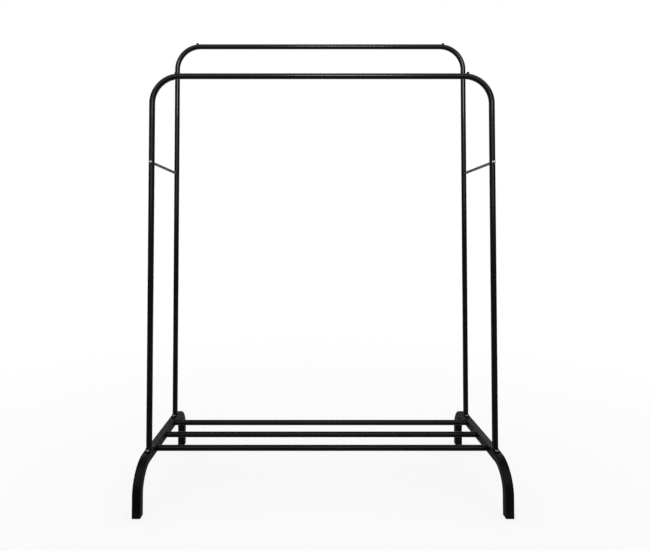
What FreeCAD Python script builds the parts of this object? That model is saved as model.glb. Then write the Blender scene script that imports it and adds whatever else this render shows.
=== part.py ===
"""Double clothes rack of bent steel tube: two hanging frames on a pair of base arches.

The frame of the part: +X to the right, +Y to the back, +Z up, origin on the floor
under the middle of the rack. All lengths are in millimetres.
"""
import FreeCAD, Part
import math
import os

import Sketcher
from FreeCAD import Placement, Rotation, Vector

# Driving dimensions: name, value, what it measures.
DIMENSIONS = [
    ("upright_spacing", 1120, "between the left and right upright axes"),
    ("frame_spacing", 300, "between the front and rear upright axes"),
    ("front_bar_height", 1373, "floor to the axis of the front hanging bar"),
    ("rear_bar_height", 1587, "floor to the axis of the rear hanging bar"),
    ("frame_tube_od", 19, "outside diameter of the hanging frames' tube"),
    ("frame_tube_wall", 1.2, "wall of the hanging frames' tube"),
    ("frame_bend_radius", 90, "top corner bend, on the tube's axis"),
    ("bar_seam", 0.4, "gap where the two halves of a bar meet"),
    ("joiner_length", 120, "tube inside the bar that joins its halves"),
    ("joiner_wall", 1.5, "wall of the joiner tube"),
    ("slip_fit", 0.1, "radial clearance of one piece pushed into another"),
    ("arch_height", 155, "floor to the top of a base arch"),
    ("arch_tube_size", 26, "outside width of the arches' square tube"),
    ("arch_tube_wall", 1.5, "wall of the arches' square tube"),
    ("arch_corner_radius", 2.5, "outside corner of the square tube"),
    ("arch_bend_radius", 92, "bend of an arch, on its outer face"),
    ("arch_straight_margin", 1, "straight tube left past each base plate"),
    ("rail_od", 19, "outside diameter of a shelf rail"),
    ("rail_wall", 1.2, "wall of a shelf rail"),
    ("rail_pitch", 108, "between the axes of neighbouring rails"),
    ("rail_insert_length", 22, "threaded insert in a rail's end"),
    ("brace_height", 1087, "floor to the axis of the brace rods"),
    ("brace_rod_od", 10, "diameter of a brace rod between the uprights"),
    ("brace_end_od", 6, "thin threaded end of a brace rod"),
    ("bolt_od", 6, "shank of the bolts and screws"),
    ("bolt_clearance", 0.25, "radial clearance of a shank in its hole"),
    ("thread_gap", 0.1, "radial clearance that stands for a thread"),
    ("bolt_head_od", 10.5, "domed head of the bolts and screws"),
    ("bolt_head_height", 3.3, "height of the domed head"),
    ("bolt_head_rim", 0.8, "straight rim under the dome of the head"),
    ("socket_size", 4, "hexagon socket, across the flats"),
    ("socket_depth", 2, "depth of the hexagon socket"),
    ("bolt_end_gap", 3, "left between a rail bolt's tip and its insert's end"),
    ("base_screw_length", 15, "shank of a base screw"),
    ("screw_gap", 1.75, "between an upright and a base screw's head"),
    ("plate_width", 20, "base plate, across the arch"),
    ("plate_end", 7, "screw centre to the end of the base plate"),
    ("plate_thickness", 3, "thickness of a base plate"),
    ("plate_corner_radius", 4, "corner of a base plate"),
    ("rivet_body_od", 9, "body of a rivet nut"),
    ("rivet_collar_od", 11.5, "collar pressed out under the arch's wall"),
    ("rivet_collar_height", 2.5, "height of that collar"),
    ("rivet_length", 14, "rivet nut from the arch's top face down"),
    ("nut_flats", 10, "cap nut, across the flats"),
    ("nut_height", 5, "hexagon of a cap nut"),
    ("dome_od", 9.4, "dome of a cap nut"),
    ("dome_rim", 1.5, "straight part under the dome of a cap nut"),
    ("dome_height", 6.5, "dome of a cap nut above its hexagon"),
    ("cap_nut_depth", 8.5, "blind thread in a cap nut"),
    ("rod_end_gap", 1, "left between a rod's tip and the end of that thread"),
    ("stop_od", 9, "head of a hanger stop"),
    ("stop_height", 6, "hanger stop above the tube"),
    ("stop_rim", 4.5, "straight side of a hanger stop above the tube"),
    ("stop_skirt", 1.5, "side of a hanger stop below the tube's crown"),
    ("stop_stem_od", 4, "stem of a hanger stop"),
    ("stop_stem_reach", 3, "stem inside the tube's wall"),
    ("stop_angle", 7, "degrees round the bend from the end of the bar"),
    ("cap_foot", 3, "foot cap under the end of the tube"),
    ("cap_plug_length", 20, "foot cap inside the tube"),
    ("cap_wall", 2.5, "wall of the foot cap's plug"),
    ("cap_core_radius", 1, "inside corner of the foot cap's plug"),
]

# Sizes and places that follow from the driving dimensions.
SIDE = "dims.upright_spacing / 2"
DEPTH = "dims.frame_spacing / 2"
TUBE_RADIUS = "dims.frame_tube_od / 2"
PLATE_TOP = "(dims.arch_height + dims.plate_thickness)"
SCREW_OFFSET = "(dims.frame_tube_od / 2 + dims.screw_gap + dims.bolt_head_od / 2)"
PLATE_HALF = f"({SCREW_OFFSET} + dims.plate_end)"
ARCH_HALF = f"({DEPTH} + {PLATE_HALF} + dims.arch_straight_margin + dims.arch_bend_radius)"
LEG_OFFSET = f"({ARCH_HALF} - dims.arch_tube_size / 2)"
RAIL_HEIGHT = "(dims.arch_height - dims.arch_tube_size / 2)"
RAIL_END = f"({SIDE} - dims.arch_tube_size / 2)"
ARCH_FACE = f"({SIDE} + dims.arch_tube_size / 2)"
SHANK_HOLE = "(dims.bolt_od + 2 * dims.bolt_clearance)"
SHANK_THREAD = "(dims.bolt_od + 2 * dims.thread_gap)"
ROD_HOLE = "(dims.brace_end_od + 2 * dims.bolt_clearance)"
ROD_THREAD = "(dims.brace_end_od + 2 * dims.thread_gap)"
RAIL_BOLT_SHANK = "(dims.arch_tube_size + dims.rail_insert_length - dims.bolt_end_gap)"
TUBE_CORE = "(dims.arch_tube_size - 2 * dims.arch_tube_wall)"
CORE_CORNER = "(dims.arch_corner_radius - dims.arch_tube_wall)"
CAP_PLUG = f"({TUBE_CORE} - 2 * dims.slip_fit)"

# The uprights, arches and feet: which side, and front or rear.
SIDES = {"left": -1, "right": 1}
ENDS = {"front": -1, "rear": 1}

# Turns that point a piece's own +Z axis another way.
UP = Rotation()
TO_LEFT = Rotation(Vector(0, 1, 0), -90)
TO_RIGHT = Rotation(Vector(0, 1, 0), 90)
TO_FRONT = Rotation(Vector(1, 0, 0), 90)
TO_REAR = Rotation(Vector(1, 0, 0), -90)
HALF_TURN = Rotation(Vector(0, 0, 1), 180)

doc = FreeCAD.newDocument("clothes_rack")
sheet = doc.addObject("Spreadsheet::Sheet", "dims")
for row, (alias, number, meaning) in enumerate(DIMENSIONS, start=1):
    sheet.set(f"A{row}", meaning)
    sheet.set(f"B{row}", str(number))
    sheet.setAlias(f"B{row}", alias)
doc.recompute()

nodes = {}


def value(expression):
    """The number that an expression on the sheet's dimensions gives."""
    return float(sheet.evalExpression(expression))


def signed(sign, expression):
    """The expression on the side that sign gives."""
    return expression if sign > 0 else f"-({expression})"


def new_body(name, label, is_node=True):
    """An empty body; a node is kept under its label as a piece of the rack."""
    body = doc.addObject("PartDesign::Body", name)
    body.Label = label
    if is_node:
        nodes[label] = body
    return body


def put(piece, x="0", y="0", z="0", turn=UP):
    """Place a piece by expressions for its origin, turned as given."""
    piece.Placement = Placement(Vector(), turn)
    for axis, expression in zip("xyz", (x, y, z)):
        piece.setExpression(f".Placement.Base.{axis}", expression)


def sketch_on(body, role, name, lift=None, ahead=None):
    """A sketch on one of the body's origin planes, lifted off it or moved along it."""
    sketch = body.newObject("Sketcher::SketchObject", name)
    plane = next(item for item in body.Origin.OriginFeatures if item.Role == role)
    sketch.AttachmentSupport = (plane, [""])
    sketch.MapMode = "FlatFace"
    if lift:
        sketch.setExpression(".AttachmentOffset.Base.z", lift)
    if ahead:
        sketch.setExpression(".AttachmentOffset.Base.y", ahead)
    return sketch


def dimension(sketch, kind, *places, size):
    """Add a dimension whose value follows an expression."""
    index = sketch.addConstraint(Sketcher.Constraint(kind, *places, value(size)))
    sketch.setExpression(f"Constraints[{index}]", size)


def pin_point(sketch, edge, end, x=None, y=None):
    """Hold a point of an edge at x, y from the sketch's origin; None is on the axis."""
    for kind, axis_line, place in (("DistanceX", -2, x), ("DistanceY", -1, y)):
        if place is None:
            sketch.addConstraint(Sketcher.Constraint("PointOnObject", edge, end, axis_line))
        elif place.startswith("-"):
            dimension(sketch, kind, edge, end, -1, 1, size=place[1:])
        else:
            dimension(sketch, kind, -1, 1, edge, end, size=place)


def number_at(place):
    """The starting number for a place that may be None, for the axis."""
    return value(place) if place else 0.0


def circle(sketch, diameter, x=None, y=None):
    """A circle of a given diameter, centred at x, y."""
    centre = Vector(number_at(x), number_at(y), 0)
    ring = Part.Circle(centre, Vector(0, 0, 1), value(diameter) / 2)
    edge = sketch.addGeometry(ring, False)
    dimension(sketch, "Diameter", edge, size=diameter)
    pin_point(sketch, edge, 3, x, y)


def tube_section(sketch, diameter, wall):
    """Two circles, for the section of a round tube."""
    circle(sketch, diameter)
    circle(sketch, f"({diameter} - 2 * {wall})")


def arc(sketch, centre, radius, start, end):
    """An arc from one angle to another, in degrees."""
    ring = Part.Circle(Vector(*centre, 0), Vector(0, 0, 1), radius)
    return sketch.addGeometry(Part.ArcOfCircle(ring, math.radians(start), math.radians(end)), False)


def line(sketch, start, end):
    """A straight edge between two points."""
    return sketch.addGeometry(Part.LineSegment(Vector(*start, 0), Vector(*end, 0)), False)


def join(sketch, kind, first, first_end, second, second_end):
    """Join the ends of two edges, as a corner or in line with each other."""
    sketch.addConstraint(Sketcher.Constraint(kind, first, first_end, second, second_end))


def rounded_rectangle(sketch, width, length, radius):
    """A rectangle centred on the sketch's origin, with all four corners rounded."""
    w, l, r = value(width) / 2, value(length) / 2, value(radius)
    bottom = line(sketch, (-w + r, -l), (w - r, -l))
    right = line(sketch, (w, -l + r), (w, l - r))
    top = line(sketch, (w - r, l), (-w + r, l))
    left = line(sketch, (-w, l - r), (-w, -l + r))
    corners = [
        arc(sketch, (w - r, -l + r), r, 270, 360),
        arc(sketch, (w - r, l - r), r, 0, 90),
        arc(sketch, (-w + r, l - r), r, 90, 180),
        arc(sketch, (-w + r, -l + r), r, 180, 270),
    ]
    sides = [bottom, right, top, left]
    for index, corner in enumerate(corners):
        join(sketch, "Tangent", sides[index], 2, corner, 1)
        join(sketch, "Tangent", corner, 2, sides[(index + 1) % 4], 1)
    for flat in (bottom, top):
        sketch.addConstraint(Sketcher.Constraint("Horizontal", flat))
    for upright in (left, right):
        sketch.addConstraint(Sketcher.Constraint("Vertical", upright))
    for corner in corners[1:]:
        sketch.addConstraint(Sketcher.Constraint("Equal", corners[0], corner))
    sketch.addConstraint(Sketcher.Constraint("Symmetric", corners[1], 3, corners[3], 3, -1, 1))
    dimension(sketch, "Radius", corners[0], size=radius)
    dimension(sketch, "DistanceX", left, 1, right, 1, size=width)
    dimension(sketch, "DistanceY", bottom, 1, top, 1, size=length)


def hexagon(sketch, flats):
    """A hexagon across its flats, with a corner on the sketch's X axis."""
    across_corners = f"({flats} * 2 / sqrt(3))"
    reach = value(across_corners) / 2
    turns = [math.radians(60 * k) for k in range(6)]
    tips = [(reach * math.cos(turn), reach * math.sin(turn)) for turn in turns]
    edges = [line(sketch, tips[k], tips[(k + 1) % 6]) for k in range(6)]
    guide = sketch.addGeometry(Part.Circle(Vector(), Vector(0, 0, 1), reach), True)
    join(sketch, "Coincident", guide, 3, -1, 1)
    dimension(sketch, "Diameter", guide, size=across_corners)
    for k, edge in enumerate(edges):
        join(sketch, "Coincident", edge, 2, edges[(k + 1) % 6], 1)
        sketch.addConstraint(Sketcher.Constraint("PointOnObject", edge, 1, guide))
        if k:
            sketch.addConstraint(Sketcher.Constraint("Equal", edges[0], edge))
    sketch.addConstraint(Sketcher.Constraint("PointOnObject", edges[0], 1, -1))


def turned_profile(sketch, corners, dome_from=None):
    """A closed outline beside the axis; the edge after corner dome_from is a dome on the axis."""
    spots = [(number_at(x), number_at(y)) for x, y in corners]
    edges = []
    for k, (here, there) in enumerate(zip(spots, spots[1:] + spots[:1])):
        if k == dome_from:
            rise = there[1] - here[1]
            radius = (here[0] ** 2 + rise ** 2) / (2 * rise)
            start = math.degrees(math.asin((radius - rise) / radius))
            edges.append(arc(sketch, (0, there[1] - radius), radius, start, 90))
            sketch.addConstraint(Sketcher.Constraint("PointOnObject", edges[-1], 3, -2))
        else:
            edges.append(line(sketch, here, there))
    for k, edge in enumerate(edges):
        join(sketch, "Coincident", edge, 2, edges[(k + 1) % len(edges)], 1)
        pin_point(sketch, edge, 1, *corners[k])


def turn(body, sketch, name):
    """Revolve an outline once round the sketch's vertical axis."""
    feature = body.newObject("PartDesign::Revolution", name)
    feature.Profile = sketch
    feature.ReferenceAxis = (sketch, ["V_Axis"])
    feature.Angle = 360
    return feature


def pad(body, sketch, name, length, both_ways=False):
    """Raise a sketch into a solid."""
    feature = body.newObject("PartDesign::Pad", name)
    feature.Profile = sketch
    feature.SideType = "Symmetric" if both_ways else "One side"
    feature.setExpression("Length", length)
    return feature


def pocket(body, sketch, name, depth, both_ways=False, upward=False):
    """Cut a sketch out of the solid: down from its face, up from it, or both ways."""
    feature = body.newObject("PartDesign::Pocket", name)
    feature.Profile = sketch
    feature.SideType = "Symmetric" if both_ways else "One side"
    feature.Reversed = upward
    feature.setExpression("Length", depth)
    return feature


def pipe(body, section, path, edge_count, name):
    """Run a tube's section along a path."""
    feature = body.newObject("PartDesign::AdditivePipe", name)
    feature.Profile = section
    feature.Spine = (path, [f"Edge{k + 1}" for k in range(edge_count)])
    return feature


def base_arch(side_name):
    """A square tube bent into a low arch, drilled for the rails and the rivet nuts."""
    body = new_body(f"{side_name}_arch", f"{side_name}_base_arch")
    path = sketch_on(body, "YZ_Plane", f"{side_name}_arch_path")
    leg, foot, top = value(LEG_OFFSET), value("dims.cap_foot"), value(RAIL_HEIGHT)
    bend_axis = "(dims.arch_bend_radius - dims.arch_tube_size / 2)"
    bend = value(bend_axis)
    front_leg = line(path, (-leg, foot), (-leg, top - bend))
    front_bend = arc(path, (-leg + bend, top - bend), bend, 90, 180)
    crown = line(path, (-leg + bend, top), (leg - bend, top))
    rear_bend = arc(path, (leg - bend, top - bend), bend, 0, 90)
    rear_leg = line(path, (leg, top - bend), (leg, foot))
    join(path, "Tangent", front_leg, 2, front_bend, 2)
    join(path, "Tangent", front_bend, 1, crown, 1)
    join(path, "Tangent", crown, 2, rear_bend, 2)
    join(path, "Tangent", rear_bend, 1, rear_leg, 1)
    for upright in (front_leg, rear_leg):
        path.addConstraint(Sketcher.Constraint("Vertical", upright))
    path.addConstraint(Sketcher.Constraint("Horizontal", crown))
    pin_point(path, front_leg, 1, f"-{LEG_OFFSET}", "dims.cap_foot")
    pin_point(path, rear_leg, 2, LEG_OFFSET, "dims.cap_foot")
    for corner in (front_bend, rear_bend):
        dimension(path, "Radius", corner, size=bend_axis)
    dimension(path, "DistanceY", -1, 1, crown, 1, size=RAIL_HEIGHT)

    section = sketch_on(body, "XY_Plane", f"{side_name}_arch_section", "dims.cap_foot", f"-{LEG_OFFSET}")
    rounded_rectangle(section, "dims.arch_tube_size", "dims.arch_tube_size", "dims.arch_corner_radius")
    rounded_rectangle(section, TUBE_CORE, TUBE_CORE, CORE_CORNER)
    pipe(body, section, path, 5, f"{side_name}_arch_tube")

    rail_holes = sketch_on(body, "YZ_Plane", f"{side_name}_arch_rail_holes")
    for place in ("-dims.rail_pitch", None, "dims.rail_pitch"):
        circle(rail_holes, SHANK_HOLE, place, RAIL_HEIGHT)
    drilling = f"{side_name}_arch_rail_drilling"
    pocket(body, rail_holes, drilling, "2 * dims.arch_tube_size", both_ways=True)

    rivet_holes = sketch_on(body, "XY_Plane", f"{side_name}_arch_rivet_holes", "dims.arch_height")
    for end in ENDS.values():
        for step in (-1, 1):
            place = f"({DEPTH} + {step * end} * {SCREW_OFFSET})"
            hole = "(dims.rivet_body_od + 2 * dims.slip_fit)"
            circle(rivet_holes, hole, None, place if end > 0 else f"-{place}")
    pocket(body, rivet_holes, f"{side_name}_arch_rivet_drilling", "2 * dims.arch_tube_wall")
    put(body, x=signed(SIDES[side_name], SIDE))


def foot_cap(end_name, side_name):
    """A plastic cap: a square foot under the tube's end and a hollow plug inside it."""
    name = f"{end_name}_{side_name}_cap"
    body = new_body(name, f"{end_name}_{side_name}_foot_cap")
    sole = sketch_on(body, "XY_Plane", f"{name}_sole")
    rounded_rectangle(sole, "dims.arch_tube_size", "dims.arch_tube_size", "dims.arch_corner_radius")
    pad(body, sole, f"{name}_foot", "dims.cap_foot")
    plug = sketch_on(body, "XY_Plane", f"{name}_plug_outline", "dims.cap_foot")
    rounded_rectangle(plug, CAP_PLUG, CAP_PLUG, CORE_CORNER)
    pad(body, plug, f"{name}_plug", "dims.cap_plug_length")
    core = sketch_on(body, "XY_Plane", f"{name}_core_outline", "dims.cap_foot + dims.cap_plug_length")
    core_width = f"({CAP_PLUG} - 2 * dims.cap_wall)"
    rounded_rectangle(core, core_width, core_width, "dims.cap_core_radius")
    pocket(body, core, f"{name}_core", "dims.cap_plug_length")
    put(body, signed(SIDES[side_name], SIDE), signed(ENDS[end_name], LEG_OFFSET))


def shelf_rail(place_name, step):
    """A straight round tube between the inner faces of the two arches."""
    body = new_body(f"{place_name}_rail", f"{place_name}_shelf_rail")
    section = sketch_on(body, "YZ_Plane", f"{place_name}_rail_section")
    tube_section(section, "dims.rail_od", "dims.rail_wall")
    pad(body, section, f"{place_name}_rail_tube", f"2 * {RAIL_END}", both_ways=True)
    put(body, y=f"{step} * dims.rail_pitch", z=RAIL_HEIGHT)


def half_frame(end_name, side_name):
    """Half of a hanging frame: an upright, its top bend and its half of the bar."""
    name = f"{end_name}_{side_name}_half"
    body = new_body(name, f"{end_name}_frame_{side_name}")
    rise_text = f"(dims.{end_name}_bar_height - {PLATE_TOP})"
    reach_text = f"({SIDE} - dims.bar_seam / 2)"
    rise, reach, bend = value(rise_text), value(reach_text), value("dims.frame_bend_radius")
    path = sketch_on(body, "XZ_Plane", f"{name}_path")
    upright = line(path, (0, 0), (0, rise - bend))
    corner = arc(path, (bend, rise - bend), bend, 90, 180)
    bar = line(path, (bend, rise), (reach, rise))
    join(path, "Tangent", upright, 2, corner, 2)
    join(path, "Tangent", corner, 1, bar, 1)
    join(path, "Coincident", upright, 1, -1, 1)
    path.addConstraint(Sketcher.Constraint("Vertical", upright))
    path.addConstraint(Sketcher.Constraint("Horizontal", bar))
    dimension(path, "Radius", corner, size="dims.frame_bend_radius")
    pin_point(path, bar, 2, reach_text, rise_text)
    section = sketch_on(body, "XY_Plane", f"{name}_section")
    tube_section(section, "dims.frame_tube_od", "dims.frame_tube_wall")
    pipe(body, section, path, 3, f"{name}_tube")

    brace_hole = sketch_on(body, "XZ_Plane", f"{name}_brace_hole")
    circle(brace_hole, ROD_HOLE, None, f"(dims.brace_height - {PLATE_TOP})")
    pocket(body, brace_hole, f"{name}_brace_drilling", "2 * dims.frame_tube_od", both_ways=True)

    # The stop's hole runs outward from the tube's axis, so it opens the upper wall only.
    stop_hole = body.newObject("PartDesign::SubtractiveCylinder", f"{name}_stop_drilling")
    stop_hole.setExpression("Radius", "dims.stop_stem_od / 2 + dims.slip_fit")
    stop_hole.setExpression("Height", "dims.frame_tube_od")
    stop_hole.Placement = Placement(Vector(), Rotation(Vector(0, 1, 0), -value("dims.stop_angle")))
    lean = "dims.stop_angle * 1 deg"
    stop_hole.setExpression(".Placement.Base.x", f"dims.frame_bend_radius * (1 - sin({lean}))")
    drop = f"dims.frame_bend_radius * (1 - cos({lean}))"
    stop_hole.setExpression(".Placement.Base.z", f"{rise_text} - {drop}")
    put(
        body,
        signed(SIDES[side_name], SIDE),
        signed(ENDS[end_name], DEPTH),
        PLATE_TOP,
        UP if side_name == "left" else HALF_TURN,
    )


def bar_joiner(end_name):
    """A short tube inside a hanging bar, across the seam of its halves."""
    body = new_body(f"{end_name}_joiner", f"{end_name}_bar_joiner")
    section = sketch_on(body, "YZ_Plane", f"{end_name}_joiner_section")
    outside = "(dims.frame_tube_od - 2 * dims.frame_tube_wall - 2 * dims.slip_fit)"
    tube_section(section, outside, "dims.joiner_wall")
    pad(body, section, f"{end_name}_joiner_tube", "dims.joiner_length", both_ways=True)
    put(body, y=signed(ENDS[end_name], DEPTH), z=f"dims.{end_name}_bar_height")


def base_plate(end_name, side_name):
    """A small plate under an upright, with a screw hole before and behind it."""
    name = f"{end_name}_{side_name}_plate"
    body = new_body(name, f"{end_name}_{side_name}_base_plate")
    outline = sketch_on(body, "XY_Plane", f"{name}_outline")
    rounded_rectangle(outline, "dims.plate_width", f"2 * {PLATE_HALF}", "dims.plate_corner_radius")
    circle(outline, SHANK_HOLE, None, SCREW_OFFSET)
    circle(outline, SHANK_HOLE, None, f"-{SCREW_OFFSET}")
    pad(body, outline, f"{name}_sheet", "dims.plate_thickness")
    put(body, signed(SIDES[side_name], SIDE), signed(ENDS[end_name], DEPTH), "dims.arch_height")


def brace_rod(side_name):
    """A rod between two uprights, its thin ends through them and inside the cap nuts."""
    name = f"{side_name}_rod"
    body = new_body(name, f"{side_name}_brace_rod")
    section = sketch_on(body, "XZ_Plane", f"{name}_section")
    circle(section, "dims.brace_rod_od")
    pad(body, section, f"{name}_bar", "dims.frame_spacing - dims.frame_tube_od", both_ways=True)
    end_section = sketch_on(body, "XZ_Plane", f"{name}_end_section")
    circle(end_section, "dims.brace_end_od")
    length = "dims.frame_spacing + dims.frame_tube_od + 2 * (dims.cap_nut_depth - dims.rod_end_gap)"
    pad(body, end_section, f"{name}_ends", length, both_ways=True)
    put(body, signed(SIDES[side_name], SIDE), z="dims.brace_height")


def hanger_stop(end_name, side_name):
    """A domed peg on the outside of a top bend, its stem through the tube's wall."""
    name = f"{end_name}_{side_name}_stop"
    body = new_body(name, f"{end_name}_{side_name}_hanger_stop")
    profile = sketch_on(body, "XZ_Plane", f"{name}_profile")
    edge = "(dims.stop_od / 2)"
    corners = [
        (None, "-dims.stop_skirt"),
        (edge, "-dims.stop_skirt"),
        (edge, "dims.stop_rim"),
        (None, "dims.stop_height"),
    ]
    turned_profile(profile, corners, dome_from=2)
    turn(body, profile, f"{name}_head")
    saddle = body.newObject("PartDesign::SubtractiveCylinder", f"{name}_saddle")
    saddle.setExpression("Radius", f"{TUBE_RADIUS} + dims.slip_fit")
    saddle.setExpression("Height", "2 * dims.stop_od")
    saddle.Placement = Placement(Vector(), TO_RIGHT)
    saddle.setExpression(".Placement.Base.x", "-dims.stop_od")
    saddle.setExpression(".Placement.Base.z", f"-({TUBE_RADIUS})")
    stem = body.newObject("PartDesign::AdditiveCylinder", f"{name}_stem")
    stem.setExpression("Radius", "dims.stop_stem_od / 2")
    stem.setExpression("Height", "dims.stop_rim + dims.frame_tube_wall + dims.stop_stem_reach")
    stem.setExpression(".Placement.Base.z", "-(dims.frame_tube_wall + dims.stop_stem_reach)")
    side = SIDES[side_name]
    lean = "dims.stop_angle * 1 deg"
    crown = f"(dims.frame_bend_radius + {TUBE_RADIUS})"
    put(
        body,
        signed(side, f"{SIDE} - dims.frame_bend_radius + {crown} * sin({lean})"),
        signed(ENDS[end_name], DEPTH),
        f"dims.{end_name}_bar_height - dims.frame_bend_radius + {crown} * cos({lean})",
        Rotation(Vector(0, 1, 0), side * value("dims.stop_angle")),
    )


def domed_bolt(name, shank):
    """A bolt with a domed head and a hexagon socket, its shank pointing down."""
    body = new_body(name, f"{name}_pattern", is_node=False)
    profile = sketch_on(body, "XZ_Plane", f"{name}_profile")
    corners = [
        (None, f"-{shank}"),
        ("(dims.bolt_od / 2)", f"-{shank}"),
        ("(dims.bolt_od / 2)", None),
        ("(dims.bolt_head_od / 2)", None),
        ("(dims.bolt_head_od / 2)", "dims.bolt_head_rim"),
        (None, "dims.bolt_head_height"),
    ]
    turned_profile(profile, corners, dome_from=4)
    turn(body, profile, f"{name}_turning")
    socket = sketch_on(body, "XY_Plane", f"{name}_socket_outline", "dims.bolt_head_height")
    hexagon(socket, "dims.socket_size")
    pocket(body, socket, f"{name}_socket", "dims.socket_depth")
    return body


def rivet_nut():
    """A threaded sleeve flush with the arch's top, its collar pressed out under the wall."""
    body = new_body("rivet", "rivet_nut_pattern", is_node=False)
    profile = sketch_on(body, "XZ_Plane", "rivet_profile")
    bore = f"({SHANK_THREAD} / 2)"
    sleeve = "(dims.rivet_body_od / 2)"
    collar = "(dims.rivet_collar_od / 2)"
    under_wall = "-dims.arch_tube_wall"
    under_collar = "-(dims.arch_tube_wall + dims.rivet_collar_height)"
    corners = [
        (bore, "-dims.rivet_length"),
        (sleeve, "-dims.rivet_length"),
        (sleeve, under_collar),
        (collar, under_collar),
        (collar, under_wall),
        (sleeve, under_wall),
        (sleeve, None),
        (bore, None),
    ]
    turned_profile(profile, corners)
    turn(body, profile, "rivet_turning")
    return body


def rail_insert():
    """A threaded plug for the end of a rail, reaching up from its flush face."""
    body = new_body("insert", "rail_insert_pattern", is_node=False)
    section = sketch_on(body, "XY_Plane", "insert_section")
    circle(section, "(dims.rail_od - 2 * dims.rail_wall - 2 * dims.slip_fit)")
    circle(section, SHANK_THREAD)
    pad(body, section, "insert_plug", "dims.rail_insert_length")
    return body


def cap_nut():
    """A hexagon nut closed by a dome, reaching up from its bearing face."""
    body = new_body("cap_nut", "cap_nut_pattern", is_node=False)
    section = sketch_on(body, "XY_Plane", "cap_nut_section")
    hexagon(section, "dims.nut_flats")
    pad(body, section, "cap_nut_block", "dims.nut_height")
    profile = sketch_on(body, "XZ_Plane", "cap_nut_profile")
    edge = "(dims.dome_od / 2)"
    corners = [
        (None, "(dims.nut_height / 2)"),
        (edge, "(dims.nut_height / 2)"),
        (edge, "(dims.nut_height + dims.dome_rim)"),
        (None, "(dims.nut_height + dims.dome_height)"),
    ]
    turned_profile(profile, corners, dome_from=2)
    turn(body, profile, "cap_nut_dome")
    thread = sketch_on(body, "XY_Plane", "cap_nut_thread_outline")
    circle(thread, ROD_THREAD)
    pocket(body, thread, "cap_nut_thread", "dims.cap_nut_depth", upward=True)
    return body


def group(label, pattern, places):
    """Copies of one small piece, each at its own place, kept together as one node."""
    copies = []
    for number, (x, y, z, turned) in enumerate(places, start=1):
        copy = doc.addObject("App::Link", f"{pattern.Name}_{number}")
        copy.LinkedObject = pattern
        put(copy, x, y, z, turned)
        copies.append(copy)
    cluster = doc.addObject("Part::Compound", label)
    cluster.Links = copies
    cluster.Label = label
    nodes[label] = cluster


def rail_places(reach, left_turn, right_turn):
    """A place at both ends of every rail, at a distance reach from the middle."""
    turns = {"left": left_turn, "right": right_turn}
    return [
        (signed(sign, reach), f"{step} * dims.rail_pitch", RAIL_HEIGHT, turns[side_name])
        for side_name, sign in SIDES.items()
        for step in (-1, 0, 1)
    ]


def screw_places(height):
    """A place before and behind every upright, at a given height."""
    return [
        (signed(side, SIDE), f"{end} * {DEPTH} + {step} * {SCREW_OFFSET}", height, UP)
        for side in SIDES.values()
        for end in ENDS.values()
        for step in (-1, 1)
    ]


def nut_places():
    """A place in front of every front upright and behind every rear one, on the rods' axes."""
    turns = {"front": TO_FRONT, "rear": TO_REAR}
    face = f"({DEPTH} + {TUBE_RADIUS})"
    return [
        (signed(side, SIDE), signed(end, face), "dims.brace_height", turns[end_name])
        for side in SIDES.values()
        for end_name, end in ENDS.items()
    ]


for side_word in SIDES:
    base_arch(side_word)
for end_word in ENDS:
    for side_word in SIDES:
        foot_cap(end_word, side_word)
for place_word, pitch_step in (("front", -1), ("middle", 0), ("rear", 1)):
    shelf_rail(place_word, pitch_step)
for end_word in ENDS:
    for side_word in SIDES:
        half_frame(end_word, side_word)
        base_plate(end_word, side_word)
        hanger_stop(end_word, side_word)
    bar_joiner(end_word)
for side_word in SIDES:
    brace_rod(side_word)
group("rail_end_inserts", rail_insert(), rail_places(RAIL_END, TO_RIGHT, TO_LEFT))
group("rail_bolts", domed_bolt("rail_bolt", RAIL_BOLT_SHANK), rail_places(ARCH_FACE, TO_LEFT, TO_RIGHT))
group("base_rivet_nuts", rivet_nut(), screw_places("dims.arch_height"))
group("base_screws", domed_bolt("base_screw", "dims.base_screw_length"), screw_places(PLATE_TOP))
group("brace_cap_nuts", cap_nut(), nut_places())
doc.recompute()

for item in doc.Objects:
    if {"Invalid", "Error"} & set(item.State):
        raise RuntimeError(f"{item.Label} did not build")
for label, piece in nodes.items():
    if piece.Shape.isNull() or not piece.Shape.isValid() or not piece.Shape.Solids:
        raise RuntimeError(f"{label} has no sound solid")

os.makedirs("parts", exist_ok=True)
for label, piece in nodes.items():
    piece.Shape.exportStep(f"parts/{label}.step")
    print(f"{label}: {len(piece.Shape.Solids)} solids, {piece.Shape.Volume / 1000:.2f} cm3")
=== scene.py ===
# %% [markdown]
# # A double clothes rack in black painted tube
# This lesson dresses a finished CAD model. The rack has two hanging frames of round tube,
# two base arches of square tube, three shelf rails and a handful of bright fittings.
# The CAD model is loaded first and never moved. It says where each piece belongs.

import math
from collections import namedtuple

import bmesh
import bpy
from mathutils import Matrix, Vector


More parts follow.
